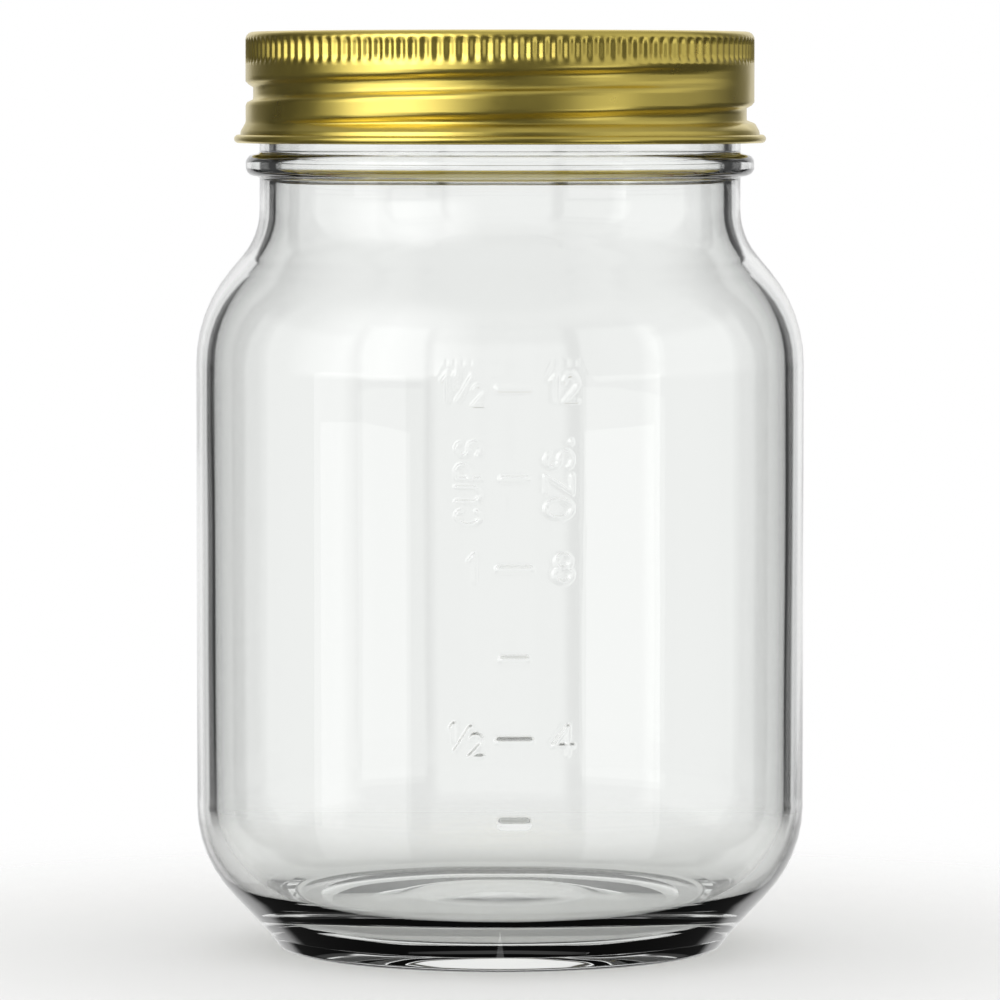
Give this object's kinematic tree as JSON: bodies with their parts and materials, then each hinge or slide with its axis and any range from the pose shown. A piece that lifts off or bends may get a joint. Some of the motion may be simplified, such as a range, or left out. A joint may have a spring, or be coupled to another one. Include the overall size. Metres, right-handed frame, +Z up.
{
  "type": "screw-top food jar",
  "caption": "Clear glass food jar with a shouldered body and a raised measuring scale, closed by a flat disc and a threaded screw band.",
  "frame": {"origin": "centre of the foot ring, on the surface that the jar stands on", "axes": "+Z up along the jar's axis, -Y towards the side with the measuring scale"},
  "size_m": [0.084, 0.0845, 0.1267],
  "materials": {
    "clear_glass": "polished, pressed and blown soda-lime glass",
    "gold_lacquered_tinplate": "satin",
    "disc_tinplate": "satin",
    "sealing_compound": "satin"
  },
  "bodies": {
    "jar": {"glass_jar": "clear_glass"},
    "lid": {"lid_disc": "disc_tinplate", "sealing_ring": "sealing_compound"},
    "band": {"screw_band": "gold_lacquered_tinplate"}
  },
  "joints": [
    {"name": "lid_lift", "type": "slide", "parent": "jar", "child": "lid", "axis": [0, 0, 1], "range_m": [0, 0.0342]},
    {"name": "band_turn", "type": "hinge", "parent": "lid", "child": "band", "pos_m": [0, 0, 0.119], "axis": [0, 0, 1], "range_deg": [0, 2160]}
  ],
  "couplings": [
    {"joint": "lid_lift", "follows": "band_turn", "m_per_rad": 0.000907}
  ]
}
